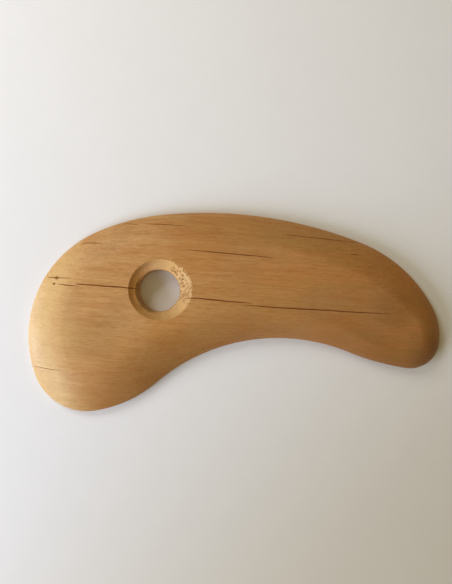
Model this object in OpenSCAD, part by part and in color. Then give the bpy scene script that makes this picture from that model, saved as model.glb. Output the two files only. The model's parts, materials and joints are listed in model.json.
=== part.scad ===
// Wooden throwing rib: a kidney-shaped hand tool for smoothing and shaping clay on the wheel.
// One piece of hardwood with a flat underside, a domed upper face, a bevel all round that is
// broad at the heel and narrow under the nose, and a finger hole with a dished mouth.
//
// X runs from the heel to the nose, Y from the belly to the back, and Z up out of the bevelled
// face. The origin is at the middle of the outline, on the flat underside.

/* [Outline radii] */
// Underside of the nose, where it runs out of the belly
under_r = 97.6; // [80:0.1:150]
// Lower corner of the nose
nose_r = 11.4; // [10.5:0.1:14]
// Tip of the nose
tip_r = 25; // [16:0.1:32]
// Tail, from the nose up to the back
tail_r = 53.6; // [40:0.1:70]
// Long back
back_r = 164.4; // [140:0.1:200]
// Shoulder, from the back down to the front
shoulder_r = 82.2; // [60:0.1:110]
// Front, the blunt end over the heel
front_r = 44; // [36:0.1:52]
// Heel, the round lower lobe
heel_r = 21.2; // [19:0.1:26]
// Flank, from the heel towards the belly
flank_r = 47.4; // [36:0.1:60]
// Belly, the hollow side
belly_r = 72.8; // [60:0.1:95]

/* [Outline joints] */
// Way the edge faces where the lower corner of the nose starts, in degrees from +X
nose_from = -98.8; // [-105:0.1:-94]
// Way the edge faces where the tip starts
tip_from = -4.4; // [-20:0.1:8]
// Way the edge faces where the tail starts
tail_from = 28; // [16:0.1:40]
// Way the edge faces where the back starts
back_from = 68.2; // [60:0.1:76]
// Way the edge faces where the shoulder starts
shoulder_from = 96; // [88:0.1:102]
// Way the edge faces where the front starts
front_from = 114.6; // [106:0.1:125]
// Way the edge faces where the heel starts
heel_from = 200.8; // [190:0.1:212]
// Way the edge faces where the flank starts
flank_from = 278.4; // [265:0.1:290]

/* [Thickness] */
// Thickness at the middle of the upper face
thickness = 10; // [8:0.1:13]
// Radius of the dome of the upper face
dome_r = 1200; // [700:10:3000]
// Rounding where the edge meets the flat underside
under_round = 1.8; // [0.8:0.1:2.6]
// Height at which the slope of the bevel, drawn on, would meet the edge
bevel_foot = 3.8; // [3:0.1:6]
// Width over which the bevel rolls into the upper face
ridge_roll = 4; // [1.5:0.1:5]

/* [Bevel widths] */
// Bevel of the front
front_bevel = 15.2; // [9:0.1:17]
// Bevel of the heel and the flank, which is the broad shaping edge
heel_bevel = 17.6; // [9:0.1:18]
// Bevel of the belly
belly_bevel = 12.6; // [6:0.1:15]
// Bevel under the nose
under_bevel = 6.5; // [5.5:0.1:9]
// Bevel round the nose and its tip
nose_bevel = 9.8; // [6:0.1:10]
// Bevel of the tail
tail_bevel = 13.6; // [6:0.1:15]
// Bevel of the back and the shoulder
back_bevel = 12.6; // [6:0.1:14]
// How far along the edge, to each side, the widths are averaged
bevel_blend = 8; // [4:0.5:12]

/* [Finger hole] */
// Diameter of the hole
bore_d = 16; // [12:0.1:19]
// Distance from the front end to the axis of the hole
bore_from_front = 51.3; // [44:0.1:60]
// Distance from the top of the back to the axis of the hole
bore_from_back = 30.3; // [27:0.1:34]
// Diameter of the dished mouth on the upper face
mouth_d = 23.2; // [21:0.1:26]
// Depth of the dished mouth, down to the straight wall of the hole
mouth_depth = 3.6; // [2:0.1:4.5]
// Broken corner where the hole comes out of the underside
bore_break = 0.6; // [0.3:0.1:1.2]

/* [Hidden] */

// Stations round the outline, an even number
stations = 180;
// Steps in the rounding under the edge, and in the curve from the edge to the upper face
under_steps = 4;
bevel_steps = 10;
// Points across the upper face on each line from the belly to the back
cross_points = 5;
// How far cutters reach past the faces that they cut
overcut = 1;
wood = [0.76, 0.55, 0.33];

// The convex run of the outline, anticlockwise from the belly: radius, way the edge faces where
// the arc starts, and bevel width. The first arc starts wherever the belly meets it.
convex = [
    [under_r, undef, under_bevel],
    [nose_r, nose_from, nose_bevel],
    [tip_r, tip_from, nose_bevel],
    [tail_r, tail_from, tail_bevel],
    [back_r, back_from, back_bevel],
    [shoulder_r, shoulder_from, back_bevel],
    [front_r, front_from, front_bevel],
    [heel_r, heel_from, heel_bevel],
    [flank_r, flank_from, heel_bevel],
];
last_arc = len(convex) - 1;

function towards(angle) = [cos(angle), sin(angle)];
function heading(v) = atan2(v.y, v.x);

// Each arc's centre lies on the line through the last joint, so that neighbours share a tangent.
function arc_centre(i) =
    i == 0 ? [0, 0]
    : arc_centre(i - 1) + (convex[i - 1][0] - convex[i][0]) * towards(convex[i][1]);
centres = [for (i = [0 : last_arc]) arc_centre(i)];

// The belly is the circle outside the outline that touches both the first and the last arc.
belly_centre =
    let (
        first_reach = convex[0][0] + belly_r,
        last_reach = convex[last_arc][0] + belly_r,
        between = centres[last_arc] - centres[0],
        span = norm(between),
        along = (first_reach ^ 2 - last_reach ^ 2 + span ^ 2) / (2 * span),
        aside = sqrt(first_reach ^ 2 - along ^ 2)
    )
    centres[0] + (along * between + aside * [-between.y, between.x]) / span;
first_from = heading(belly_centre - centres[0]);
last_to = heading(belly_centre - centres[last_arc]) + 360;

// Every arc as centre, radius, start angle, end angle, and bevel width. The belly runs backwards
// round its own centre, which lies outside the wood.
arcs = concat(
    [for (i = [0 : last_arc]) [
        centres[i],
        convex[i][0],
        i == 0 ? first_from : convex[i][1],
        i == last_arc ? last_to : convex[i + 1][1],
        convex[i][2]
    ]],
    [[belly_centre, belly_r, last_to - 180, first_from + 180, belly_bevel]]
);
function arc_length(arc) = arc[1] * abs(arc[3] - arc[2]) * PI / 180;
lengths = [for (arc = arcs) arc_length(arc)];
function sum_to(i) = i < 0 ? 0 : lengths[i] + sum_to(i - 1);
perimeter = sum_to(len(arcs) - 1);

// Point of the outline, and the way it faces, at a distance along it.
function spot(s, i = 0) =
    s > lengths[i] && i < len(arcs) - 1 ? spot(s - lengths[i], i + 1)
    : let (
        arc = arcs[i],
        angle = arc[2] + (arc[3] - arc[2]) * s / lengths[i],
        outward = arc[3] > arc[2] ? 1 : -1
    )
    [arc[0] + arc[1] * towards(angle), outward * towards(angle)];

// Bevel width at a distance along the outline: each arc has its own width at its middle, and
// the widths run smoothly from one to the next.
middles = [for (i = [0 : len(arcs) - 1]) [sum_to(i) - lengths[i] / 2, arcs[i][4]]];
bevel_table = concat(
    [[middles[len(arcs) - 1][0] - perimeter, middles[len(arcs) - 1][1]]],
    middles,
    [[middles[0][0] + perimeter, middles[0][1]]]
);
smoothing = [for (share = [-1 : 0.5 : 1]) share * bevel_blend];
function wrap(s) = s - perimeter * floor(s / perimeter);
function total(v, i = 0) = i == len(v) ? 0 : v[i] + total(v, i + 1);
function bevel_at(s) =
    total([for (step = smoothing) lookup(wrap(s + step), bevel_table)]) / len(smoothing);

// The stations start where the outline faces straight back, at the front end, and go round
// anticlockwise, so that station j lies across the wood from station (stations - j).
front_end = total([for (arc = arcs) if (arc[3] > arc[2])
    arc[1] * min(max(180 - arc[2], 0), arc[3] - arc[2]) * PI / 180]);
function station_s(j) = wrap(front_end + perimeter * j / stations);
raw_edge = [for (j = [0 : stations - 1]) spot(station_s(j))];
low = [min([for (e = raw_edge) e[0].x]), min([for (e = raw_edge) e[0].y])];
high = [max([for (e = raw_edge) e[0].x]), max([for (e = raw_edge) e[0].y])];
edge = [for (e = raw_edge) [e[0] - (low + high) / 2, e[1]]];
half_size = (high - low) / 2;

bore_r = bore_d / 2;
mouth_r = mouth_d / 2;
bore_at = [bore_from_front - half_size.x, half_size.y - bore_from_back];

// Height of the domed upper face over a point of the plan.
function dome(p) = thickness - (p.x ^ 2 + p.y ^ 2) / (2 * dome_r);

// Section of the rim as distance in from the outline and height: a round from the flat underside
// to the upright edge, then one curve up over the edge, along the bevel and into the dome.
function bezier(a, b, c, d, t) =
    (1 - t) ^ 3 * a + 3 * (1 - t) ^ 2 * t * b + 3 * (1 - t) * t ^ 2 * c + t ^ 3 * d;
function section(width, top) = concat(
    [for (i = [0 : under_steps]) let (a = 90 * i / under_steps)
        under_round * [1 - sin(a), 1 - cos(a)]],
    [for (i = [1 : bevel_steps]) bezier(
        [0, under_round],
        [0, bevel_foot],
        [width - ridge_roll, top],
        [width, top],
        i / bevel_steps
    )]
);

function rim_line(j) =
    let (
        at = edge[j][0],
        out = edge[j][1],
        width = bevel_at(station_s(j)),
        top = dome(at - width * out)
    )
    [for (s = section(width, top)) [at.x - s[0] * out.x, at.y - s[0] * out.y, s[1]]];
rim = [for (j = [0 : stations - 1]) rim_line(j)];
rings = len(rim[0]);

// Straight lines across the upper face, from the ridge over the belly to the ridge over the back.
function cross_line(j) =
    let (a = rim[j][rings - 1], b = rim[stations - j][rings - 1])
    [for (i = [1 : cross_points]) let (p = a + (b - a) * i / (cross_points + 1)) [p.x, p.y, dome(p)]];

half = stations / 2;
function rim_index(j, k) = k * stations + j % stations;
function cross_index(j, i) =
    i == 0 || j == 0 || j == half ? rim_index(j, rings - 1)
    : i > cross_points ? rim_index(stations - j, rings - 1)
    : rings * stations + (j - 1) * cross_points + i - 1;

module blank() {
    points = concat(
        [for (k = [0 : rings - 1]) for (j = [0 : stations - 1]) rim[j][k]],
        [for (j = [1 : half - 1]) each cross_line(j)]
    );
    underside = [for (j = [0 : half - 1]) concat(
        [rim_index(j, 0), rim_index(j + 1, 0)],
        j == half - 1 ? [] : [rim_index(stations - j - 1, 0)],
        j == 0 ? [] : [rim_index(stations - j, 0)]
    )];
    rim_faces = [for (k = [0 : rings - 2]) for (j = [0 : stations - 1]) each [
        [rim_index(j, k), rim_index(j, k + 1), rim_index(j + 1, k + 1)],
        [rim_index(j, k), rim_index(j + 1, k + 1), rim_index(j + 1, k)]
    ]];
    top_faces = [for (j = [0 : half - 1]) for (i = [0 : cross_points]) each concat(
        j == half - 1 ? [] : [[cross_index(j, i), cross_index(j + 1, i + 1), cross_index(j + 1, i)]],
        j == 0 ? [] : [[cross_index(j, i), cross_index(j, i + 1), cross_index(j + 1, i + 1)]]
    )];
    polyhedron(points, concat(underside, rim_faces, top_faces), convexity = 6);
}

// The mouth is a dish cut by a ball, which meets the upper face at the mouth's diameter and the
// straight wall of the hole at the mouth's depth.
module finger_hole() {
    face = dome(bore_at);
    ball_up = (mouth_r ^ 2 - bore_r ^ 2 - mouth_depth ^ 2) / (2 * mouth_depth);
    ball_r = sqrt(mouth_r ^ 2 + ball_up ^ 2);
    translate([bore_at.x, bore_at.y, 0]) {
        translate([0, 0, -overcut])
            cylinder(h = thickness + 2 * overcut, r = bore_r, $fn = 96);
        translate([0, 0, face + ball_up])
            sphere(r = ball_r, $fn = 96);
        translate([0, 0, -overcut])
            cylinder(h = bore_break + overcut, r1 = bore_r + bore_break + overcut, r2 = bore_r, $fn = 96);
    }
}

module rib() {
    color(wood)
        difference() {
            blank();
            finger_hole();
        }
}

rib();
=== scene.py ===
"""A wooden throwing rib for pottery: a kidney-shaped board with a swept bevel, a dished finger
hole, torn end grain on one side of the dish, and fine drying checks along the grain."""
import json
import math

import bpy
from bpy.props import FloatProperty, FloatVectorProperty, IntProperty, PointerProperty
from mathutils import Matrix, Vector


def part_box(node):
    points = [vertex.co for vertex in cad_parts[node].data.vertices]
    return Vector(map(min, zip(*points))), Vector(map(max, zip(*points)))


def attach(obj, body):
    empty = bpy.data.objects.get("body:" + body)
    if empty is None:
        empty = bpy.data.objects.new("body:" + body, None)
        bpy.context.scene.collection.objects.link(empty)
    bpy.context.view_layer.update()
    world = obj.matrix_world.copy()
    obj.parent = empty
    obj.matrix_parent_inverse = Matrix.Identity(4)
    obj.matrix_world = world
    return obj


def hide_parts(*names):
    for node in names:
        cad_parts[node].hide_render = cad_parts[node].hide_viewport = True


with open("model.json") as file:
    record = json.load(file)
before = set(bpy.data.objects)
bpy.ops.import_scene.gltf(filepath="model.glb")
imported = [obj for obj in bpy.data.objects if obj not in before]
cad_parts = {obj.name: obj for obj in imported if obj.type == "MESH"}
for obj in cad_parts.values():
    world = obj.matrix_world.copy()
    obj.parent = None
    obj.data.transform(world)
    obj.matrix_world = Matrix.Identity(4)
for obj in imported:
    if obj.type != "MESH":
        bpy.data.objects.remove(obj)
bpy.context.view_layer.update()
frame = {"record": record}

bl_info = {
    "name": "Wooden throwing rib",
    "version": (1, 0, 0),
    "blender": (4, 5, 0),
    "location": "View3D > Sidebar > Rib",
    "description": "Builds a bevelled wooden pottery rib with its finger hole, checks and stage",
    "category": "Add Mesh",
}

MM = 0.001
CAD_LOW, CAD_HIGH = (Vector(corner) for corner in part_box("rib"))
HOLE = next(m for m in frame["record"]["mounts"] if m["name"] == "finger_hole")
HOLE_AT = Vector(HOLE["pos_m"])


# Properties

def length(name, description, millimetres):
    """A length property whose default is given in millimetres."""
    return FloatProperty(
        name=name, description=description, default=millimetres * MM, unit="LENGTH", precision=5
    )


def number(name, description, default, unit="NONE"):
    """A property that is a plain number or a power."""
    return FloatProperty(name=name, description=description, default=default, unit=unit)


def paint(name, description, red, green, blue):
    """A colour property, in scene linear values."""
    return FloatVectorProperty(
        name=name,
        description=description,
        default=(red, green, blue),
        subtype="COLOR",
        min=0.0,
        max=1.0,
    )


class BoardSizes(bpy.types.PropertyGroup):
    """Sizes of the board's section"""
    thickness: length("Thickness", "Thickness in the middle", (CAD_HIGH.z - CAD_LOW.z) / MM)
    dome: length("Dome radius", "Radius of the dome of the upper face", 1200)
    under_round: length("Under rounding", "Rounding from the edge to the flat underside", 1.8)
    bevel_foot: length("Bevel foot", "Height at which the bevel, drawn on, meets the edge", 3.8)
    ridge_roll: length("Ridge roll", "Width over which the bevel rolls into the face", 4.0)
    sanding: length("Sanding", "Deepest low spot that hand sanding left", 0.1)
    stations: IntProperty(
        name="Stations",
        description="Steps round the edge, an even number",
        default=720,
    )


class HoleSizes(bpy.types.PropertyGroup):
    """Sizes of the finger hole"""
    bore: length("Bore radius", "Radius of the straight wall", HOLE["dims"]["r_mm"])
    mouth: length("Mouth radius", "Radius of the dish where it meets the upper face", 11.5)
    depth: length("Dish depth", "Depth of the dish down to the straight wall", 3.6)
    hollow: number("Hollow", "How hollow the dish is: 1 is a straight cone", 1.5)
    drift: FloatVectorProperty(
        name="Drift",
        description="How far the dish wandered as it was cut, along and across the grain",
        default=(0.75 * MM, 0.3 * MM),
        size=2,
        unit="LENGTH",
        precision=5,
    )
    stretch: number("Stretch", "How much longer the mouth is along the grain, as a share", 0.04)
    break_edge: length("Broken corner", "Corner broken where the hole leaves the underside", 0.6)
    tear: length("Tear depth", "Depth of the pits where the end grain tore", 0.5)
    ragged: length("Ragged edge", "How far the torn side's edge strays", 0.35)


class CheckSizes(bpy.types.PropertyGroup):
    """Sizes of the drying checks"""
    depth: number("Depth", "Depth of a check as a multiple of its width", 0.9)
    wander: length("Wander", "How far a check wanders off its line", 0.14)


class WoodFinish(bpy.types.PropertyGroup):
    """Colours and sheen of the wood"""
    # Also painted on the dish's lit side as painted light
    straw: paint("Straw end grain", "Pale crescent of end grain at the heel", 0.66, 0.460, 0.200)
    pale: paint("Pale wood", "Sapwood next to the crescent", 0.56, 0.320, 0.118)
    # Also painted on the dish's shaded side as painted shade
    warm: paint("Warm wood", "Wood of the middle", 0.46, 0.240, 0.074)
    brown: paint("Brown wood", "Wood of the tail and nose", 0.37, 0.178, 0.050)
    red: paint("Red streaks", "Reddish streaks in the grain", 0.44, 0.180, 0.056)
    grey: paint("Grey cast", "Greyish handled patches", 0.38, 0.215, 0.090)
    torn: paint("Torn grain", "Raw end grain in the dish", 0.66, 0.430, 0.190)
    # Painted shade in the torn pits, and the brown of the pin knots and the blotch
    pit: paint("Pit", "Bottom of a pit in the torn grain", 0.29, 0.122, 0.020)
    check: paint("Check", "Dark inside of a drying check", 0.36, 0.135, 0.024)
    # Dark fibres round the throat, which also stand for painted shade on the bore's shaded side
    fringe_and_shade: paint("Fringe", "Dusty fibres round the throat", 0.17, 0.095, 0.030)
    bore: paint("Bore", "Straight wall of the hole", 0.44, 0.255, 0.120)
    roughness: number("Roughness", "Roughness of the sanded face", 0.50)
    polish: number("Polish", "How much the palm has polished the heel's edge", 0.8)


class StageSettings(bpy.types.PropertyGroup):
    """Paper, light and camera"""
    paper: paint("Paper", "Pale sheet that the rib lies on", 0.83, 0.85, 0.87)
    # The sheet's colour in the painted shade towards the lower right
    paper_in_shade: paint("Warm paper", "Where the sheet runs into the warm side", 0.69, 0.67, 0.59)
    window: number("Window", "Strength of the low window light", 2.60, unit="POWER")
    ceiling: number("Ceiling", "Strength of the high soft light", 1.20, unit="POWER")
    sky: number("Fill", "Strength of the light from all round", 0.31)
    eye: length("Camera height", "Height of the camera over the paper", 186.1)


SETTINGS = {
    "rib_board": BoardSizes,
    "rib_hole": HoleSizes,
    "rib_checks": CheckSizes,
    "rib_finish": WoodFinish,
    "rib_stage": StageSettings,
}


# Node trees

class Wire:
    """A node's output. Sums written on it add Math or Vector Math nodes to its tree."""

    def __init__(self, tree, socket):
        self.tree = tree
        self.socket = socket

    def _with(self, operation, first, second):
        sides = (first, second)
        values = {0: first, 1: second}
        kind = "ShaderNodeVectorMath"
        vectors = [isinstance(s, Wire) and s.socket.type == "VECTOR" for s in sides]
        if not any(vectors):
            kind = "ShaderNodeMath"
        elif operation == "MULTIPLY" and not all(vectors):
            vector, scale = sides if vectors[0] else reversed(sides)
            operation = "SCALE"
            values = {0: vector, "Scale": scale}
        return self.tree.put(kind, {"operation": operation}, values)

    def __add__(self, other):
        return self._with("ADD", self, other)

    __radd__ = __add__

    def __sub__(self, other):
        return self._with("SUBTRACT", self, other)

    def __rsub__(self, other):
        return self._with("SUBTRACT", other, self)

    def __mul__(self, other):
        return self._with("MULTIPLY", self, other)

    __rmul__ = __mul__

    def __truediv__(self, other):
        return self._with("DIVIDE", self, other)

    def __pow__(self, other):
        return self._with("POWER", self, other)

    def node_output(self, name):
        """Another output of the node that this one leaves."""
        return Wire(self.tree, self.socket.node.outputs[name])

    def parts(self):
        """The three numbers of a vector."""
        x = self.tree.put("ShaderNodeSeparateXYZ", {}, {0: self})
        return x, x.node_output("Y"), x.node_output("Z")


class Tree:
    """A node tree that is filled by put()."""

    def __init__(self, tree):
        self.tree = tree

    def put(self, kind, settings=None, values=None, out=0):
        """Adds a node, sets it up, fills its inputs with values or wires, and wraps an output."""
        node = self.tree.nodes.new(kind)
        for name, value in (settings or {}).items():
            setattr(node, name, value)
        for name, value in (values or {}).items():
            if isinstance(value, Wire):
                self.tree.links.new(value.socket, node.inputs[name])
            else:
                node.inputs[name].default_value = value
        return Wire(self, node.outputs[out]) if len(node.outputs) else None

    def turn(self, operation, value, other=0.0):
        """A Math node with a named operation, such as a sine, a least or a largest."""
        return self.put("ShaderNodeMath", {"operation": operation}, {0: value, 1: other})

    def vector(self, x, y, z):
        return self.put("ShaderNodeCombineXYZ", {}, {0: x, 1: y, 2: z})

    def ease(self, value, low, high, to_low=0.0, to_high=1.0):
        """Runs smoothly from to_low at low to to_high at high, and holds on either side."""
        settings = {"interpolation_type": "SMOOTHSTEP"}
        values = {0: value, 1: low, 2: high, 3: to_low, 4: to_high}
        return self.put("ShaderNodeMapRange", settings, values)

    def ease_mm(self, value, low, high, to_low=0.0, to_high=1.0):
        """As ease, for a value in metres, with low and high in millimetres."""
        return self.ease(value, low * MM, high * MM, to_low, to_high)

    def band_mm(self, value, start, full, fading, end):
        """1 from full to fading, and 0 before start and after end, all in millimetres."""
        return self.ease_mm(value, start, full) * self.ease_mm(value, fading, end, 1.0, 0.0)

    def noise(self, place, scale, detail=2.0, roughness=0.5, distortion=0.0):
        """Soft noise between 0 and 1, with scale lumps to the metre."""
        values = {
            "Vector": place,
            "Scale": scale,
            "Detail": detail,
            "Roughness": roughness,
            "Distortion": distortion,
        }
        return self.put("ShaderNodeTexNoise", {}, values)

    def blend(self, factor, first, second, kind="MIX"):
        """A colour between two others, or one laid over the other."""
        settings = {"data_type": "RGBA", "blend_type": kind, "clamp_factor": True}
        return self.put("ShaderNodeMix", settings, {0: factor, 6: first, 7: second}, out=2)


def colour(rgb):
    return (rgb[0], rgb[1], rgb[2], 1.0)


SOCKETS = {float: "NodeSocketFloat", int: "NodeSocketInt"}


def geometry_tree(name, sizes, objects=(), takes_mesh=False):
    """A geometry tree with named inputs, as (tree, its input wires by name).

    sizes holds the inputs that are numbers, with their defaults."""
    group = bpy.data.node_groups.new(name, "GeometryNodeTree")
    group.is_modifier = True
    new_socket = group.interface.new_socket
    new_socket("Geometry", in_out="OUTPUT", socket_type="NodeSocketGeometry")
    if takes_mesh:
        new_socket("Geometry", in_out="INPUT", socket_type="NodeSocketGeometry")
    for label, value in sizes.items():
        socket = new_socket(label, in_out="INPUT", socket_type=SOCKETS[type(value)])
        socket.default_value = value
    for label in objects:
        new_socket(label, in_out="INPUT", socket_type="NodeSocketObject")
    new_socket("Material", in_out="INPUT", socket_type="NodeSocketMaterial")
    tree = Tree(group)
    first = tree.put("NodeGroupInput")
    wires = {s.name: Wire(tree, s) for s in first.socket.node.outputs if s.name}
    return tree, wires


def finish_tree(tree, geometry, material):
    real = tree.put("GeometryNodeRealizeInstances", {}, {0: geometry})
    dressed = tree.put("GeometryNodeSetMaterial", {}, {"Geometry": real, "Material": material})
    tree.put("NodeGroupOutput", {}, {0: dressed})


def plain_mesh(thing):
    """Makes what an object's modifiers give its own plain mesh."""
    graph = bpy.context.evaluated_depsgraph_get()
    graph.update()
    mesh = bpy.data.meshes.new_from_object(thing.evaluated_get(graph), depsgraph=graph)
    thing.modifiers.clear()
    thing.data = mesh
    return thing


def grown(name, tree, values, mesh=None):
    """An object holding what a geometry tree makes from the values of its named inputs."""
    thing = new_object(name, mesh or bpy.data.meshes.new(name))
    modifier = thing.modifiers.new(name, "NODES")
    modifier.node_group = tree.tree
    for socket in tree.tree.interface.items_tree:
        if socket.in_out == "INPUT" and socket.name in values:
            modifier[socket.identifier] = values[socket.name]
    return plain_mesh(thing)


def new_object(name, data):
    thing = bpy.data.objects.new(name, data)
    bpy.context.scene.collection.objects.link(thing)
    return thing


def line_object(name, runs, closed=False):
    """A curve of straight runs. Each point is x, y, z and a width kept as the point's radius."""
    curve = bpy.data.curves.new(name, "CURVE")
    curve.dimensions = "3D"
    for run in runs:
        spline = curve.splines.new("POLY")
        spline.points.add(len(run) - 1)
        spline.use_cyclic_u = closed
        for point, (x, y, z, width) in zip(spline.points, run):
            point.co = (x, y, z, 1.0)
            point.radius = width
    return new_object(name, curve)


# Edge of the board

# Arcs that run into one another, anticlockwise from the belly: radius in millimetres, the way
# the edge faces where the arc starts in degrees, and the width of the bevel in millimetres.
ARCS = {
    "under the nose": (97.6, None, 6.5),
    "nose": (11.4, -98.8, 9.8),
    "tip": (25.0, -4.4, 9.8),
    "tail": (53.6, 28.0, 13.6),
    "back": (164.4, 68.2, 12.6),
    "shoulder": (82.2, 96.0, 12.6),
    "front": (44.0, 114.6, 15.2),
    "heel": (21.2, 200.8, 17.6),
    "flank": (47.4, 278.4, 17.6),
}
BELLY_RADIUS = 72.8
BELLY_BEVEL = 12.6
# How far the bevel's width is averaged along the edge, in millimetres
BEVEL_BLEND = (-8, -4, 0, 4, 8)


def facing(degrees):
    return Vector((math.cos(math.radians(degrees)), math.sin(math.radians(degrees))))


def heading(vector):
    return math.degrees(math.atan2(vector.y, vector.x))


def edge_arcs():
    """Every arc as centre, radius, start, end and bevel width, with the belly last."""
    arcs = list(ARCS.values())
    centres = [Vector((0.0, 0.0))]
    for (before, _, _), (radius, start, _) in zip(arcs, arcs[1:]):
        centres.append(centres[-1] + (before - radius) * facing(start))
    first_reach = arcs[0][0] + BELLY_RADIUS
    last_reach = arcs[-1][0] + BELLY_RADIUS
    between = centres[-1] - centres[0]
    span = between.length
    along = (first_reach ** 2 - last_reach ** 2 + span ** 2) / (2 * span)
    aside = math.sqrt(first_reach ** 2 - along ** 2)
    across = Vector((-between.y, between.x))
    belly = centres[0] + (along * between + aside * across) / span
    first_start = heading(belly - centres[0])
    last_end = heading(belly - centres[-1]) + 360
    starts = [first_start] + [arc[1] for arc in arcs[1:]]
    ends = starts[1:] + [last_end]
    runs = [
        (centre, arc[0], start, end, arc[2])
        for centre, arc, start, end in zip(centres, arcs, starts, ends)
    ]
    runs.append((belly, BELLY_RADIUS, last_end - 180, first_start + 180, BELLY_BEVEL))
    return runs


def edge_points(count):
    """Points equally far apart along the edge, as x, y, z and bevel width in metres.

    They start at the front end, go anticlockwise, and fill the CAD board's box."""
    runs = edge_arcs()
    lengths = [radius * math.radians(abs(end - start)) for _, radius, start, end, _ in runs]
    around = sum(lengths)
    middles = [sum(lengths[:i]) + lengths[i] / 2 for i in range(len(runs))]
    widths = [run[4] for run in runs]
    middles = [middles[-1] - around] + middles + [middles[0] + around]
    widths = [widths[-1]] + widths + [widths[0]]

    def bevel(s):
        s %= around
        i = max(k for k, middle in enumerate(middles) if middle <= s)
        share = (s - middles[i]) / (middles[i + 1] - middles[i])
        return widths[i] + (widths[i + 1] - widths[i]) * share

    def spot(s):
        s %= around
        for (centre, radius, start, end, _), run in zip(runs, lengths):
            if s <= run:
                break
            s -= run
        return centre + radius * facing(start + (end - start) * s / run)

    front = sum(
        radius * math.radians(min(max(180 - start, 0), end - start))
        for _, radius, start, end, _ in runs[:-1]
    )
    spread = [front + around * i / count for i in range(count)]
    spots = [spot(s) for s in spread]
    low = Vector((min(p.x for p in spots), min(p.y for p in spots)))
    high = Vector((max(p.x for p in spots), max(p.y for p in spots)))
    fit = min((CAD_HIGH[i] - CAD_LOW[i]) / (high[i] - low[i]) for i in (0, 1))
    points = []
    for s, p in zip(spread, spots):
        x, y = fit * (p - (low + high) / 2)
        width = sum(bevel(s + step) for step in BEVEL_BLEND) / len(BEVEL_BLEND)
        points.append((x, y, 0.0, width * MM))
    return points


# The board

# Steps up the rim, and across the flat and the domed face
RIM_STEPS = 36
CROSS_STEPS = 26
# Share of the rim's steps that the rounding under the edge takes
UNDER_SHARE = 0.25
# Least distance apart of points that stay separate
WELD = 0.001 * MM
# Low spots that sanding left, to the metre, and the heights in millimetres where they set in
LOW_SPOTS = 55.0
SANDED_FROM = (1, 4)
# Edges sharper than this, in degrees, stay sharp
SHARP_FROM = 32


def swept_board_tree(sizes):
    """Sweeps the rim's section round the edge, and closes it with laths above and below."""
    tree, given = geometry_tree("Swept board", sizes, objects=["Edge"])
    put, turn = tree.put, tree.turn
    edge = put("GeometryNodeObjectInfo", {}, {"Object": given["Edge"]}).node_output("Geometry")
    width_here = put("GeometryNodeInputRadius")
    stations = given["Stations"]

    def at_edge(share):
        """Place, outward way and bevel width at a share of the way round the edge."""
        settings = {"mode": "FACTOR", "use_all_curves": True, "data_type": "FLOAT"}
        values = {"Curves": edge, "Value": width_here, "Factor": share}
        width = put("GeometryNodeSampleCurve", settings, values)
        along_x, along_y, _ = width.node_output("Tangent").parts()
        return width.node_output("Position"), tree.vector(along_y, 0.0 - along_x, 0.0), width

    def dome(point):
        x, y, _ = point.parts()
        return given["Thickness"] - (x * x + y * y) / (2.0 * given["Dome Radius"])

    def grid(columns, rows):
        mesh = put("GeometryNodeMeshGrid", {}, {"Vertices X": columns, "Vertices Y": rows})
        across, up, _ = mesh.node_output("UV Map").parts()
        return mesh, across, up

    def shape(mesh, place):
        return put("GeometryNodeSetPosition", {}, {"Geometry": mesh, "Position": place})

    def rim():
        """The rounding under the edge, then the bevel as a cubic curve up to the ridge."""
        mesh, share, climb = grid(stations + 1, RIM_STEPS + 1)
        place, outward, width = at_edge(share)
        under = turn("MINIMUM", climb / UNDER_SHARE, 1.0) * (math.pi / 2)
        gone = turn("MAXIMUM", (climb - UNDER_SHARE) / (1 - UNDER_SHARE), 0.0)
        rest = 1.0 - gone
        round_r = given["Under Rounding"]
        top = dome(place - outward * width)
        early, late = 3.0 * rest * rest * gone, 3.0 * rest * gone * gone
        last = gone * gone * gone
        inset = late * (width - given["Ridge Roll"]) + last * width
        inset += round_r * (1.0 - turn("SINE", under))
        height = rest * rest * rest * round_r + early * given["Bevel Foot"] + (late + last) * top
        height -= round_r * turn("COSINE", under)
        x, y, _ = (place - outward * inset).parts()
        return shape(mesh, tree.vector(x, y, height))

    def laths(inset, height):
        """Straight laths from one side of the board to the other, between points set in."""
        mesh, share, across = grid(stations / 2.0 + 1.0, CROSS_STEPS + 1)
        ends = []
        for side in (share / 2.0, 1.0 - share / 2.0):
            place, outward, width = at_edge(side)
            ends.append(place - outward * inset(width))
        point = ends[0] + (ends[1] - ends[0]) * across
        x, y, _ = point.parts()
        return shape(mesh, tree.vector(x, y, height(point)))

    face = laths(lambda width: width, dome)
    base = laths(lambda width: given["Under Rounding"], lambda point: 0.0)
    base = put("GeometryNodeFlipFaces", {}, {0: base})
    joined = put("GeometryNodeJoinGeometry")
    for part in (base, face, rim()):
        tree.tree.links.new(part.socket, joined.socket.node.inputs[0])
    board = put("GeometryNodeMergeByDistance", {}, {"Geometry": joined, "Distance": WELD})
    place = put("GeometryNodeInputPosition")
    _, _, height = place.parts()
    low_spot = tree.noise(place, LOW_SPOTS, detail=1.0) * given["Sanding"]
    low_spot *= tree.ease_mm(height, *SANDED_FROM)
    inward = put("GeometryNodeInputNormal") * (low_spot * -1.0)
    board = put("GeometryNodeSetPosition", {}, {"Geometry": board, "Offset": inward})
    finish_tree(tree, board, given["Material"])
    return tree


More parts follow.
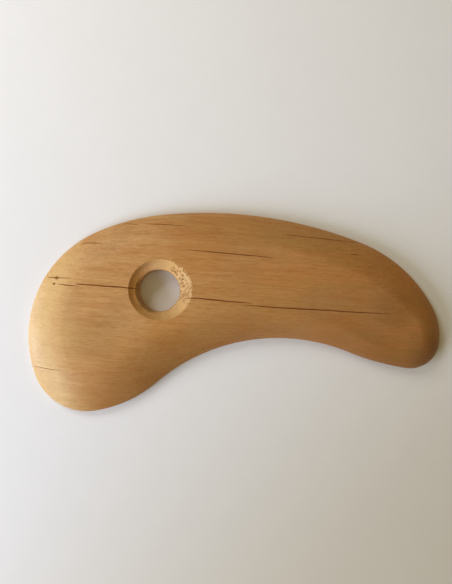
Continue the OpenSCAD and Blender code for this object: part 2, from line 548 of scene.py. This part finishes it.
def make_board(board):
    edge = line_object("edge", [edge_points(2 * board.stations)], closed=True)
    sizes = {
        "Thickness": board.thickness,
        "Dome Radius": board.dome,
        "Under Rounding": board.under_round,
        "Bevel Foot": board.bevel_foot,
        "Ridge Roll": board.ridge_roll,
        "Sanding": board.sanding,
        "Stations": board.stations,
    }
    values = {**sizes, "Edge": edge, "Material": bpy.data.materials["sanded_wood"]}
    made = grown("rib_board", swept_board_tree(sizes), values)
    bpy.data.objects.remove(edge)
    return made


# The finger hole

# Facets of the cutter round the hole, and its steps up the dish and up the straight wall
HOLE_TURNS = 560
DISH_STEPS = 56
WALL_STEPS = 6
# How far the dish's curve runs on over the face, as a share of its depth
DISH_REACH = 1.12
# How far the cutter reaches past the underside
PAST = 1 * MM
# Side of the dish where the end grain tore: middle, half width and soft border, in degrees
TORN_MIDDLE = 18
TORN_HALF = 35
TORN_SOFT = 12
# How much closer together the cutter's facets are on that side
CROWDING = 0.6
# Spacing of the pits round the dish and down it, in millimetres, and their lean
PIT_LONG = 1.5
PIT_WIDE = 0.6
PIT_LEAN = 0.4
# How unevenly the pits lie, where a pit's wall starts and ends as shares of the spacing, and
# the shares of places with no pit or a shallow one
PIT_SCATTER = 0.7
PIT_WALL = (0.28, 0.48)
PIT_MISSING = (0.12, 0.18)
# Lumps to the metre in the torn side's ragged edge
RAGGED_LUMPS = 1100.0


def hole_profile(board, hole):
    """Radius and height of the cutter's wall, from under the board to over its face."""
    off_middle = HOLE_AT.x ** 2 + HOLE_AT.y ** 2
    throat = board.thickness - off_middle / (2 * board.dome) - hole.depth
    dish = []
    for i in range(DISH_STEPS + 1):
        share = DISH_REACH * i / DISH_STEPS
        radius = hole.bore + (hole.mouth - hole.bore) * share
        dish.append((radius, throat + hole.depth * share ** hole.hollow))
    below = (hole.bore + hole.break_edge + PAST, -PAST)
    rise = (throat - hole.break_edge) / WALL_STEPS
    wall = [(hole.bore, hole.break_edge + rise * i) for i in range(WALL_STEPS)]
    return [below] + wall + dish


def crowded_way(share):
    """Direction from the hole's middle at a share of a turn, with more of them where it tore."""
    turn = math.tau * share
    return turn - CROWDING * math.sin(turn - math.radians(TORN_MIDDLE))


def lathe(name, profile, turns):
    """A closed solid of revolution about the hole's middle line."""
    points = []
    for radius, height in profile:
        for i in range(turns):
            way = crowded_way(i / turns)
            across = (HOLE_AT.x + radius * math.cos(way), HOLE_AT.y + radius * math.sin(way))
            points.append((*across, height))
    faces = [tuple(reversed(range(turns)))]
    for row in range(len(profile) - 1):
        for i in range(turns):
            a, b = row * turns + i, row * turns + (i + 1) % turns
            faces.append((a, b, b + turns, a + turns))
    faces.append(tuple(range((len(profile) - 1) * turns, len(profile) * turns)))
    mesh = bpy.data.meshes.new(name)
    mesh.from_pydata(points, [], faces)
    return mesh


def way_round(tree, place):
    """Direction of a place from the hole's middle, in radians anticlockwise from the nose."""
    x, y, _ = place.parts()
    return tree.turn("ARCTAN2", y - HOLE_AT.y, x - HOLE_AT.x)


def torn_side(tree, way):
    """1 on the side of the dish where the end grain tore, 0 elsewhere."""
    low, high = (math.radians(TORN_MIDDLE + side * TORN_HALF) for side in (-1, 1))
    soft = math.radians(TORN_SOFT)
    return tree.ease(way, low - soft, low) * tree.ease(way, high, high + soft, 1.0, 0.0)


def pits(tree, place):
    """Pits where bundles of fibres tore out, 1 in their middle. They lean, and run along X."""
    _, y, z = place.parts()
    across, up = y / (PIT_LONG * MM), (z - y * PIT_LEAN) / (PIT_WIDE * MM)
    settings = {"voronoi_dimensions": "2D", "feature": "F1", "distance": "EUCLIDEAN"}
    values = {"Vector": tree.vector(across, up, 0.0), "Scale": 1.0, "Randomness": PIT_SCATTER}
    cell = tree.put("ShaderNodeTexVoronoi", settings, values)
    kept, _, _ = cell.node_output("Color").parts()
    return tree.ease(cell, *PIT_WALL, 1.0, 0.0) * tree.ease(kept, *PIT_MISSING)


def torn_dish_tree(sizes):
    """Draws the dish's mouth out along the grain, and tears pits into its far side."""
    tree, given = geometry_tree("Torn dish", sizes, takes_mesh=True)
    place = tree.put("GeometryNodeInputPosition")
    x, _, z = place.parts()
    climb = tree.ease(z, given["Throat Height"], given["Face Height"])
    in_dish = tree.ease_mm(z - given["Throat Height"], -0.4, 0.3)
    torn = torn_side(tree, way_round(tree, place)) * in_dish
    stray = (tree.noise(place, RAGGED_LUMPS, detail=3.0) - 0.5) * given["Ragged"] * 2.0
    depth = (pits(tree, place) * given["Tear"] + stray) * torn
    shift_x = climb * (given["Drift X"] + (x - HOLE_AT.x) * given["Stretch"]) + depth
    shift = tree.vector(shift_x, climb * given["Drift Y"], 0.0)
    values = {"Geometry": given["Geometry"], "Offset": shift}
    finish_tree(tree, tree.put("GeometryNodeSetPosition", {}, values), given["Material"])
    return tree


def make_hole_cutter(board, hole):
    profile = hole_profile(board, hole)
    throat = profile[-DISH_STEPS - 1][1]
    sizes = {
        "Throat Height": throat,
        "Face Height": throat + hole.depth,
        "Drift X": hole.drift[0],
        "Drift Y": hole.drift[1],
        "Stretch": hole.stretch,
        "Tear": hole.tear,
        "Ragged": hole.ragged,
    }
    values = {**sizes, "Material": bpy.data.materials["torn_grain"]}
    mesh = lathe("hole_cutter", profile, HOLE_TURNS)
    return grown("hole_cutter", torn_dish_tree(sizes), values, mesh)


def cut(board, cutter):
    """Takes the cutter out of the board. The new walls keep the cutter's material."""
    modifier = board.modifiers.new("cut", "BOOLEAN")
    modifier.operation = "DIFFERENCE"
    modifier.solver = "MANIFOLD"
    modifier.material_mode = "TRANSFER"
    modifier.object = cutter
    plain_mesh(board)
    bpy.data.objects.remove(cutter)


# Drying checks

# Each check: its width and the points it runs through, in millimetres from the board's middle
CHECKS = {
    "heel": (0.40, (-67.2, 10.8), (-62.7, 10.3), (-57.9, 10.0)),
    "heel to hole": (0.60, (-60.0, 10.9), (-50.0, 10.1), (-42.8, 9.6), (-36.8, 9.0)),
    "hole to waist": (0.56, (-18.6, 5.5), (-13.8, 5.5), (-2.7, 4.3), (6.8, 3.6)),
    "waist to nose": (0.60, (3.3, 3.0), (17.0, 1.9), (32.0, 1.1), (47.4, 0.1), (59.2, -0.5)),
    "over the hole": (0.44, (-17.6, 23.6), (-5.3, 22.4), (5.9, 21.4), (15.2, 20.5)),
    "shoulder end": (0.27, (-41.9, 34.2), (-36.4, 33.7)),
    "shoulder": (0.29, (-34.4, 33.9), (-23.9, 33.3), (-18.0, 32.7)),
    "front": (0.34, (-58.7, 26.6), (-54.2, 26.5), (-49.8, 26.2)),
    "pin knot tail": (0.34, (-72.2, 13.5), (-67.0, 13.2), (-61.4, 13.0)),
    "flank": (0.22, (-77.8, -20.7), (-70.8, -21.5), (-65.0, -21.9)),
    "tail": (0.28, (19.8, 29.4), (30.4, 28.4), (42.2, 27.3), (48.3, 26.6)),
    "tail end": (0.24, (43.6, 22.1), (48.4, 21.8)),
}
# How closely a check follows the face, and how high its line starts over it, in millimetres
CHECK_STEP = 0.4
CHECK_DROP = 50.0
# Bends and swellings of a check to the metre, how much it swells, and its least width in
# millimetres. The nearer its taper is to 0, the blunter are its ends.
CHECK_BENDS = 160.0
CHECK_SWELLINGS = 320.0
CHECK_SWELL = 0.6
CHECK_LEAST = 0.01
CHECK_TAPER = 0.45
# A triangle with corners 1 from its middle is this wide there
WEDGE_WIDTH = 1.155


def checks_tree(sizes):
    """Lays lines on the board and sweeps a wedge along each, thin towards its ends."""
    tree, given = geometry_tree("Drying checks", sizes, objects=["Lines", "Board"])
    put = tree.put
    lines = put("GeometryNodeObjectInfo", {}, {"Object": given["Lines"]}).node_output("Geometry")
    board = put("GeometryNodeObjectInfo", {}, {"Object": given["Board"]}).node_output("Geometry")
    values = {"Curve": lines, "Length": given["Step"]}
    lines = put("GeometryNodeResampleCurve", {"mode": "LENGTH"}, values)
    place = put("GeometryNodeInputPosition")
    stray = (tree.noise(place, CHECK_BENDS, detail=3.0) - 0.5) * given["Wander"] * 2.0
    start = place + tree.vector(0.0, stray, given["Drop"])
    values = {"Target Geometry": board, "Source Position": start, "Ray Direction": (0, 0, -1)}
    landed = put("GeometryNodeRaycast", {}, values).node_output("Hit Position")
    lines = put("GeometryNodeSetPosition", {}, {"Geometry": lines, "Position": landed})
    way = put("GeometryNodeSplineParameter")
    taper = tree.turn("MAXIMUM", way * (1.0 - way) * 4.0, 0.0) ** CHECK_TAPER
    swell = 1.0 + (tree.noise(place, CHECK_SWELLINGS) - 0.5) * CHECK_SWELL
    width = put("GeometryNodeInputRadius") * taper * swell + CHECK_LEAST * MM
    lines = put("GeometryNodeSetCurveNormal", {"mode": "Z_UP"}, {0: lines})
    wedge = put("GeometryNodeCurvePrimitiveCircle", {"mode": "RADIUS"}, {"Resolution": 3})
    # One corner of the wedge points down, and its middle lies on the board's face.
    turned = {"Geometry": wedge, "Rotation": (0.0, 0.0, math.pi / 2)}
    wedge = put("GeometryNodeTransform", {}, turned)
    sizing = {"Geometry": wedge, "Scale": tree.vector(1.0 / WEDGE_WIDTH, given["Depth"], 1.0)}
    wedge = put("GeometryNodeTransform", {}, sizing)
    values = {"Curve": lines, "Profile Curve": wedge, "Scale": width, "Fill Caps": True}
    finish_tree(tree, put("GeometryNodeCurveToMesh", {}, values), given["Material"])
    return tree


def make_check_cutter(board, checks):
    runs = []
    for width, *points in CHECKS.values():
        runs.append([(x * MM, y * MM, 0.0, width * MM) for x, y in points])
    lines = line_object("check_lines", runs)
    sizes = {
        "Depth": checks.depth,
        "Wander": checks.wander,
        "Step": CHECK_STEP * MM,
        "Drop": CHECK_DROP * MM,
    }
    things = {"Lines": lines, "Board": board, "Material": bpy.data.materials["check"]}
    cutter = grown("check_cutter", checks_tree(sizes), {**sizes, **things})
    bpy.data.objects.remove(lines)
    return cutter


# Materials

# Degrees between the grain and the rib's length
GRAIN_TILT = 3.5
# How much a shade changes red, green and blue
TINTS = {
    "grain": (0.8, 1.0, 2.0),
    # the lobe's darkening, and painted shade on the nose's bevel
    "hands_and_shade": (1.0, 1.1, 1.4),
    # painted shade along the belly
    "clay": (1.0, 1.3, 1.9),
    # painted light along the middle of the face
    "painted_light_tint": (1.0, 0.6, 0.2),
    # lighter and greyer on the upper back
    "greyer": (0.1, 0.6, 1.4),
    # painted highlight on the heel's edge
    "polish_and_highlight": (0.7, 1.0, 2.2),
    # fuzz, with painted light on it
    "fur_and_painted_light": (1.0, 0.3, -1.2),
    # painted bounce light on the dish's shaded side
    "painted_bounce": (1.0, 1.2, 2.0),
}


def material(name, look):
    """A material whose surface the function look makes in its tree."""
    made = bpy.data.materials.new(name)
    made.use_nodes = True
    made.node_tree.nodes.clear()
    tree = Tree(made.node_tree)
    tree.put("ShaderNodeOutputMaterial", {}, {"Surface": look(tree)})
    return made


def along_grain(tree):
    """Object coordinates, and the same turned so that X runs along the grain."""
    place = tree.put("ShaderNodeTexCoord").node_output("Object")
    turned = {"Vector": place, "Rotation": (0.0, 0.0, math.radians(GRAIN_TILT))}
    return place, tree.put("ShaderNodeMapping", {"vector_type": "POINT"}, turned)


def streaks(tree, grain, along, across, detail=3.0, distortion=0.0):
    """Noise drawn out along the grain: along and across are its scales per metre."""
    x, y, z = grain.parts()
    place = tree.vector(x * along, y * across, z * across)
    return tree.noise(place, 1.0, detail=detail, roughness=0.6, distortion=distortion)


def shaded(tree, tone, shade, strengths=(1.0, 1.0, 1.0)):
    """A colour made lighter or darker by a number near 1, more in some channels than others."""
    channels = {i: 1.0 + (shade - 1.0) * strength for i, strength in enumerate(strengths)}
    return tree.blend(1.0, tone, tree.put("ShaderNodeCombineColor", {}, channels), kind="MULTIPLY")


def drop_under_face(place):
    """How far a point lies under the domed upper face: 0 on the face, more down the bevel."""
    board = bpy.context.scene.rib_board
    x, y, z = place.parts()
    return board.thickness - (x * x + y * y) / (2.0 * board.dome) - z


# The sanded wood

# Soft borders across the wood: how far each leans to the nose per millimetre upwards, how far
# the clouds push it, and where it starts and ends, in millimetres
BORDERS = {
    "inner wood": (0.45, 50, -58, 7),
    "lower inner wood": (1.5, 20, -40, -20),
    "end grain": (0.05, 8, -66, -54),
    "brown wood": (-0.15, 30, 0, 80),
    "lobe": (-0.4, 20, -68, -50),
}
# Clouds and greyish patches to the metre, and the bands' scales along and across the grain,
# detail and distortion
CLOUDS = 30.0
BANDS = (16.0, 260.0, 3.0, 0.5)
GREY_PATCHES = 60.0
# Streaks of the grain: their scales per metre along and across it, their detail, and how much
# each kind lightens and darkens the wood
STREAKS = {
    "fine": ((330.0, 2400.0, 2.0), 0.42),
    "middling": ((90.0, 1300.0, 3.0), 0.24),
    "broad": ((30.0, 700.0, 3.0), 0.26),
    "flecks": ((1500.0, 3400.0, 1.0), 0.20),
}
PORES = (330.0, 5200.0, 0.0)
# Pin knots, which are only brown marks: middle, half length and half width, in millimetres
PIN_KNOTS = {"upper": ((-67.6, 13.2), 1.7, 0.9), "lower": ((-68.6, 10.9), 1.0, 0.7)}
# Soft darker patches on the face, most where hands and clay have darkened it, but the nose
# corner's
# patch is painted shade: middle and radius in millimetres, and the shares of red, green and blue
# that each takes away
PATCHES = {
    "thumb": ((60.0, 1.0), 9.5, (0.14, 0.154, 0.196)),
    "palm": ((-52.0, -10.0), 11.5, (0.15, 0.165, 0.21)),
    "nose corner shade": ((73.0, -15.0), 10.0, (0.20, 0.21, 0.20)),
    "over the hole": ((-13.0, 25.5), 14.0, (0.03, 0.09, 0.19)),
    "under the hole": ((-25.0, -6.5), 11.0, (0.03, 0.10, 0.22)),
}
# Middle and bending radius of the painted shade along the belly, in millimetres
SHADE_MIDDLE = 15
SHADE_BEND = 77


def knotted(tree, finish, tone, x, y):
    """A colour with the pin knots laid over it, each a diamond drawn out along the grain."""
    marks = 0.0
    for (middle_x, middle_y), half_length, half_width in PIN_KNOTS.values():
        along = tree.turn("ABSOLUTE", x - middle_x * MM) / (half_length * MM)
        across = tree.turn("ABSOLUTE", y - middle_y * MM) / (half_width * MM)
        marks = tree.turn("MAXIMUM", tree.ease(along + across, 0.4, 1.1, 1.0, 0.0), marks)
    tone = tree.blend(marks * 0.95, tone, colour(finish.pit))
    return shaded(tree, tone, 1.0 - marks * 0.4)


def patched(tree, tone, x, y):
    """A colour with the soft dark patches laid over it."""
    for (middle_x, middle_y), radius, darker in PATCHES.values():
        beside = (x - middle_x * MM) / (radius * MM)
        above = (y - middle_y * MM) / (radius * MM)
        fade = tree.ease(beside * beside + above * above, 0.05, 1.0, 1.0, 0.0)
        tone = shaded(tree, tone, 1.0 - fade, darker)
    return tone


def clay_stain(tree, x, y):
    """How much the hollow belly is painted darker and redder, as painted shade, more towards the
    nose.
    """
    off_middle = x - SHADE_MIDDLE * MM
    from_belly = y + off_middle * off_middle / (2 * SHADE_BEND * MM)
    return tree.ease_mm(from_belly, -10, 8, 1.0, 0.0) * tree.ease_mm(x, 20, 45, 0.11, 0.25)


def wood_tone(tree, finish, place, grain):
    """The wood's colour before its fine grain: pale at the heel, brown at the tail and nose."""
    x, y, _ = place.parts()
    drop = drop_under_face(place)
    cloud = tree.noise(place, CLOUDS, detail=3.0) - 0.5

    def past(border):
        """0 on the heel's side of a border, 1 on the nose's side."""
        lean, stray, start, end = BORDERS[border]
        return tree.ease_mm(x - y * lean + cloud * (stray * MM), start, end)

    lower = tree.ease_mm(x, -60, -46) * tree.ease_mm(y, -8, 4, 0.9, 0.0)
    inner = tree.turn("MAXIMUM", past("inner wood"), past("lower inner wood") * lower)
    tone = tree.blend(inner, colour(finish.pale), colour(finish.warm))
    heel = 1.0 - past("end grain")
    on_bevel = tree.ease_mm(drop, 0.2, 1.6, 0.32, 0.87)
    upwards = tree.ease_mm(y, 2, 22, 1.0, 0.5)
    tone = tree.blend(heel * on_bevel * upwards, tone, colour(finish.straw))
    tone = tree.blend(past("brown wood"), tone, colour(finish.brown))
    bands = tree.ease(streaks(tree, grain, *BANDS), 0.38, 0.66)
    tone = tree.blend(bands * (0.45 - heel * 0.30), tone, colour(finish.red))
    greyish = tree.ease(tree.noise(place, GREY_PATCHES, detail=4.0), 0.46, 0.70)
    tone = tree.blend(greyish * (0.30 - heel * 0.20), tone, colour(finish.grey))
    lobe = past("lobe") * tree.ease_mm(y, -26, -10, 1.0, 0.0)
    # Painted shade on the nose's lower bevel. The lobe is painted darker too.
    nose_bevel_shade = tree.ease_mm(drop, 0.4, 2.5) * tree.ease_mm(x - y, 60, 75)
    tone = shaded(tree, tone, 1.0 - lobe * 0.07 - nose_bevel_shade * 0.06, TINTS["hands_and_shade"])
    # Painted light: a band along the middle of the face is painted lighter and warmer.
    painted_light_band = tree.band_mm(y, 4, 13, 20, 30) * inner
    tone = shaded(tree, tone, 1.0 + painted_light_band * 0.08, TINTS["painted_light_tint"])
    # Painted shade along the hollow belly.
    tone = shaded(tree, tone, 1.0 - clay_stain(tree, x, y), TINTS["clay"])
    # The upper back towards the tail is painted lighter and greyer.
    back = tree.ease_mm(y, 14, 26) * tree.band_mm(x, 0, 20, 45, 65)
    tone = shaded(tree, tone, 1.0 + back * 0.12, TINTS["greyer"])
    return knotted(tree, finish, patched(tree, tone, x, y), x, y)


def polished_highlit_edge(tree, place):
    """1 along the heel's thin edge, 0 elsewhere. The palm polishes it, and a highlight is painted
    into its colour there.
    """
    x, y, z = place.parts()
    low_on_heel = tree.ease_mm(z, 3.4, 6.2, 1.0, 0.0) * tree.ease_mm(x, -66, -52, 1.0, 0.0)
    return low_on_heel * tree.band_mm(y, -26, -10, 4, 16)


def sanded_wood(finish):
    def look(tree):
        place, grain = along_grain(tree)
        x, _, _ = place.parts()
        kinds = {}
        streaky = 0.0
        for name, (scales, share) in STREAKS.items():
            kinds[name] = streaks(tree, grain, *scales) - 0.5
            streaky += kinds[name] * share
        pores = tree.ease(streaks(tree, grain, *PORES), 0.62, 0.74)
        streaky -= pores * 0.10
        # The grain shows less on the heel's end.
        calm = tree.ease_mm(x, -68, -46, 0.5, 1.0)
        tone = wood_tone(tree, finish, place, grain)
        reddish = tree.ease(kinds["middling"] + kinds["fine"] * 0.5, -0.20, 0.06, 0.30, 0.0)
        tone = tree.blend(reddish * calm, tone, colour(finish.red))
        polish_and_highlight = polished_highlit_edge(tree, place)
        # Painted highlight: the heel's thin edge is painted lighter and paler.
        tone = shaded(tree, tone, 1.0 + polish_and_highlight * 0.13, TINTS["polish_and_highlight"])
        relief = kinds["fine"] * 0.6 + kinds["flecks"] * 0.3 - pores * 0.6
        bump = {"Strength": 0.16, "Distance": 0.06 * MM, "Height": relief}
        values = {
            "Base Color": shaded(tree, tone, 1.0 + streaky * calm, TINTS["grain"]),
            "Roughness": finish.roughness + kinds["broad"] * calm * 0.16 + pores * 0.12,
            "Specular IOR Level": 0.2,
            "Coat Weight": polish_and_highlight * finish.polish,
            "Coat Roughness": 0.35,
            "Normal": tree.put("ShaderNodeBump", {}, bump),
        }
        return tree.put("ShaderNodeBsdfPrincipled", {}, values)

    return material("sanded_wood", look)


# The dish and the bore

# Fuzz and tufts of the raw end grain to the metre, and its fibres' and a check's fibres' scales
# along and across the grain
FUZZ = 2200.0
TUFTS = 900.0
DISH_FIBRES = (500.0, 2600.0)
CHECK_FIBRES = (400.0, 4000.0)
# Sides of the dish: the way to each from the hole's middle in degrees, the cosines of the
# angles off it where its look sets in and is complete, and how strong it is. The straw side is
# painted light and the warm side painted shade. The side in shade gets painted bounce light,
# painted lighter as if lit by the other wall, most of all down at the throat.
DISH_SIDES = {
    "straw": (-50, 0.5, 0.95, 0.35),
    "warm": (150, 0.1, 0.8, 0.6),
    "painted_bounce": (155, 0.30, 0.85, 1.0),
    # painted shade of the bore wall on its shaded side, with its fibres
    "fringed_and_shaded": (205, 0.40, 0.80, 1.0),
}
# The way to the dark blotch where a check runs into the dish, in radians
BLOTCH_WAY = -0.25


def on_side(tree, way, side):
    """How strong a side's look is on the wall that lies a given way."""
    middle, start, end, most = DISH_SIDES[side]
    nearness = tree.turn("COSINE", way - math.radians(middle))
    return tree.ease(nearness, start, end, 0.0, most)


def dish_tone(tree, finish, way, torn, height):
    """Colour of the dish's wall before its fibres, at a height in metres over the throat, with
    light and shade painted round the dish.
    """
    # Painted light on the straw side, and painted shade on the warm side.
    straw = on_side(tree, way, "straw")
    tone = tree.blend(straw, colour(finish.pale), colour(finish.straw))
    tone = tree.blend(on_side(tree, way, "warm"), tone, colour(finish.warm))
    bleached = torn * tree.ease(way, -0.3, 0.5, 0.35, 1.0)
    tone = tree.blend(bleached, tone, colour(finish.torn))
    # Fuzz on the side towards the back, also painted lighter there where light falls on it.
    fuzz_and_painted_light = tree.ease(way, 0.4, 0.9) * tree.ease(way, 1.4, 2.1, 1.0, 0.0)
    tone = tree.blend(fuzz_and_painted_light, tone, colour(finish.torn))
    tone = shaded(tree, tone, 1.0 + fuzz_and_painted_light * 0.10, TINTS["fur_and_painted_light"])
    # Painted bounce light: the side in shade is painted lighter, most of all down at the throat.
    inner = tree.ease_mm(height, 0, 2.2, 0.55, 0.0)
    painted_bounce = on_side(tree, way, "painted_bounce") * (0.16 + inner)
    return shaded(tree, tone, 1.0 + painted_bounce, TINTS["painted_bounce"])


def torn_grain(finish):
    def look(tree):
        place, grain = along_grain(tree)
        _, _, z = place.parts()
        scene = bpy.context.scene
        # Measured from a throat in the board's middle
        height = z - (scene.rib_board.thickness - scene.rib_hole.depth)
        way = way_round(tree, place)
        torn = torn_side(tree, way)
        tone = dish_tone(tree, finish, way, torn, height)
        fuzz = tree.noise(place, FUZZ, detail=3.0)
        tufts = tree.noise(place, TUFTS, detail=2.0)
        fibres = streaks(tree, grain, *DISH_FIBRES)
        tone = shaded(tree, tone, 0.46 + fuzz * 0.34 + fibres * 0.26 + tufts * 0.36)
        by_check = tree.ease(tree.turn("ABSOLUTE", way - BLOTCH_WAY), 0.12, 0.30, 1.0, 0.0)
        low = tree.ease_mm(height, 1.2, 3.0, 1.0, 0.0)
        blotch = by_check * low * tree.ease(tufts, 0.47, 0.58) * 0.8
        # Painted shade: the cut pits are also painted dark. The blotch by the check is a dark
        # mark.
        pitted = tree.turn("MAXIMUM", pits(tree, place) * torn, blotch)
        pitted *= tree.ease_mm(height, -0.4, 0.2)
        tone = tree.blend(pitted * 0.9, tone, colour(finish.pit))
        tone = tree.blend(tree.ease_mm(height, -0.6, 0, 0.8, 0.0), tone, colour(finish.bore))
        # Dusty fibres hang on the throat's rim, and a little way down the bore. On the shaded side
        # the dark fringe is also painted shade of the bore wall.
        lip = tree.turn("MAXIMUM", height * 10.0, height * -0.25)
        ragged = lip + (fuzz + tufts - 1.0) * (1.6 * MM)
        fringe_and_shade = tree.ease_mm(ragged, 0.2, 0.7, 1.0, 0.0) * on_side(tree, way, "fringed_and_shaded")
        bump = {"Strength": 0.5, "Distance": 0.12 * MM, "Height": fuzz}
        values = {
            "Base Color": tree.blend(fringe_and_shade * 0.7, tone, colour(finish.fringe_and_shade)),
            "Roughness": 0.75,
            "Specular IOR Level": 0.3,
            "Normal": tree.put("ShaderNodeBump", {}, bump),
        }
        return tree.put("ShaderNodeBsdfPrincipled", {}, values)

    return material("torn_grain", look)


def check_dark(finish):
    def look(tree):
        _, grain = along_grain(tree)
        fibres = streaks(tree, grain, *CHECK_FIBRES)
        tone = tree.blend(fibres * 0.5, colour(finish.check), colour(finish.brown))
        values = {"Base Color": tone, "Roughness": 0.85}
        return tree.put("ShaderNodeBsdfPrincipled", {}, values)

    return material("check", look)


# Mottles in the paper to the metre
MOTTLES = 90.0


def paper_look(stage):
    def look(tree):
        place = tree.put("ShaderNodeTexCoord").node_output("Object")
        x, y, _ = place.parts()
        # Painted shade: the sheet darkens and warms towards the lower right.
        shaded_side = tree.ease_mm(x * 0.7 - y, -20, 160)
        tone = tree.blend(shaded_side, colour(stage.paper), colour(stage.paper_in_shade))
        mottle = 0.985 + tree.noise(place, MOTTLES, detail=2.0) * 0.03
        # Painted light: the sheet is painted lighter towards the top and darker towards the
        # bottom.
        lighter = tree.ease_mm(y, -90, 90, -0.04, 0.05)
        values = {"Base Color": shaded(tree, tone, mottle + lighter), "Roughness": 0.9}
        return tree.put("ShaderNodeBsdfPrincipled", {}, values)

    return material("paper", look)


# Operators

class BuildMaterials(bpy.types.Operator):
    """Make the wood's materials and the paper's"""
    bl_idname = "rib.materials"
    bl_label = "Materials"

    def execute(self, context):
        scene = context.scene
        sanded_wood(scene.rib_finish)
        torn_grain(scene.rib_finish)
        check_dark(scene.rib_finish)
        paper_look(scene.rib_stage)
        return {"FINISHED"}


class BuildRib(bpy.types.Operator):
    """Sweep the board, cut its finger hole and open its drying checks"""
    bl_idname = "rib.board"
    bl_label = "Rib"

    def execute(self, context):
        scene = context.scene
        board = make_board(scene.rib_board)
        cut(board, make_hole_cutter(scene.rib_board, scene.rib_hole))
        cut(board, make_check_cutter(board, scene.rib_checks))
        board.data.shade_smooth()
        board.data.set_sharp_from_angle(angle=math.radians(SHARP_FROM))
        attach(board, "root")
        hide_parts("rib")
        return {"FINISHED"}


class BuildStage(bpy.types.Operator):
    """Lay the paper, and set the window light, the fill and the camera"""
    bl_idname = "rib.stage"
    bl_label = "Stage"

    def execute(self, context):
        scene = context.scene
        stage = scene.rib_stage
        lay_paper()
        hang_lamp("window", WINDOW, stage.window, DAYLIGHT)
        hang_lamp("ceiling", CEILING, stage.ceiling, HAZE_LIGHT)
        fill_light(scene, stage)
        set_camera(scene, stage)
        scene.view_settings.view_transform = "Standard"
        return {"FINISHED"}


# Where each lamp hangs, and how wide and high it is, in millimetres
WINDOW = ((-443, -236, 224), (420, 240))
CEILING = ((-312, 340, 308), (250, 200))
# Colours of the light from outside, and of the light off the room's walls
DAYLIGHT = (0.94, 1.0, 1.20)
HAZE_LIGHT = (1.0, 1.0, 1.0)
NEAR_WALL = (0.95, 0.82, 0.58)
FAR_WALL = (1.04, 0.75, 0.26)
# The way to the far wall, and how far from the middle it is all near or all far light
FAR_WAY = (0.5, 0.87)
WALL_SOFT = 0.6
# Half the paper's width, and the gap under the board, in millimetres
PAPER_HALF = 1200
PAPER_DROP = 0.02
# Where the camera looks straight down, in millimetres, and its lens
EYE_AT = (-3.06, 7.78)
LENS_MM = 29.2
SENSOR_MM = 36.0
CLIP_START = 10


def lay_paper():
    mesh = bpy.data.meshes.new("paper")
    half = PAPER_HALF * MM
    corners = [(-half, -half), (half, -half), (half, half), (-half, half)]
    mesh.from_pydata([(x, y, -PAPER_DROP * MM) for x, y in corners], [], [(0, 1, 2, 3)])
    mesh.materials.append(bpy.data.materials["paper"])
    new_object("paper", mesh)


def hang_lamp(name, place_and_size, power, tint):
    """An oblong soft light that faces the middle of the rib."""
    place, (wide, high) = place_and_size
    place = Vector(place) * MM
    light = bpy.data.lights.new(name, "AREA")
    light.shape = "RECTANGLE"
    light.size, light.size_y = wide * MM, high * MM
    light.energy = power
    light.color = tint
    lamp = new_object(name, light)
    lamp.location = place
    lamp.rotation_euler = (-place).to_track_quat("-Z", "Y").to_euler()


def dimmed(rgb, share):
    return colour([channel * share for channel in rgb])


def fill_light(scene, stage):
    """Light off the walls, from all round. The camera sees a plain pale backdrop instead."""
    world = bpy.data.worlds.new("room")
    world.use_nodes = True
    background = world.node_tree.nodes["Background"]
    background.inputs["Strength"].default_value = 1.0
    tree = Tree(world.node_tree)
    x, y, _ = tree.put("ShaderNodeTexCoord").parts()
    far_side = tree.ease(x * FAR_WAY[0] + y * FAR_WAY[1], -WALL_SOFT, WALL_SOFT)
    walls = tree.blend(far_side, dimmed(NEAR_WALL, stage.sky), dimmed(FAR_WALL, stage.sky))
    seen = tree.put("ShaderNodeLightPath").node_output("Is Camera Ray")
    tone = tree.blend(seen, walls, colour(stage.paper))
    world.node_tree.links.new(tone.socket, background.inputs["Color"])
    scene.world = world


def set_camera(scene, stage):
    data = bpy.data.cameras.new("camera")
    data.lens = LENS_MM
    data.sensor_width = SENSOR_MM
    data.clip_start = CLIP_START * MM
    camera = new_object("camera", data)
    camera.location = (EYE_AT[0] * MM, EYE_AT[1] * MM, stage.eye)
    scene.camera = camera


class RibPanel(bpy.types.Panel):
    """Lists the rib's operators and settings"""
    bl_idname = "VIEW3D_PT_rib"
    bl_label = "Wooden throwing rib"
    bl_space_type = "VIEW_3D"
    bl_region_type = "UI"
    bl_category = "Rib"

    def draw(self, context):
        for operator in OPERATORS:
            self.layout.operator(operator.bl_idname)
        for name, group in SETTINGS.items():
            box = self.layout.box()
            box.label(text=group.__doc__)
            for field in group.__annotations__:
                box.prop(getattr(context.scene, name), field)


OPERATORS = (BuildMaterials, BuildRib, BuildStage)
CLASSES = (*SETTINGS.values(), *OPERATORS, RibPanel)


def register():
    for made in CLASSES:
        bpy.utils.register_class(made)
    for name, group in SETTINGS.items():
        setattr(bpy.types.Scene, name, PointerProperty(type=group))


def unregister():
    for name in SETTINGS:
        delattr(bpy.types.Scene, name)
    for made in reversed(CLASSES):
        bpy.utils.unregister_class(made)


def main():
    register()
    bpy.ops.rib.materials()
    bpy.ops.rib.board()
    bpy.ops.rib.stage()


if __name__ == "__main__":
    main()
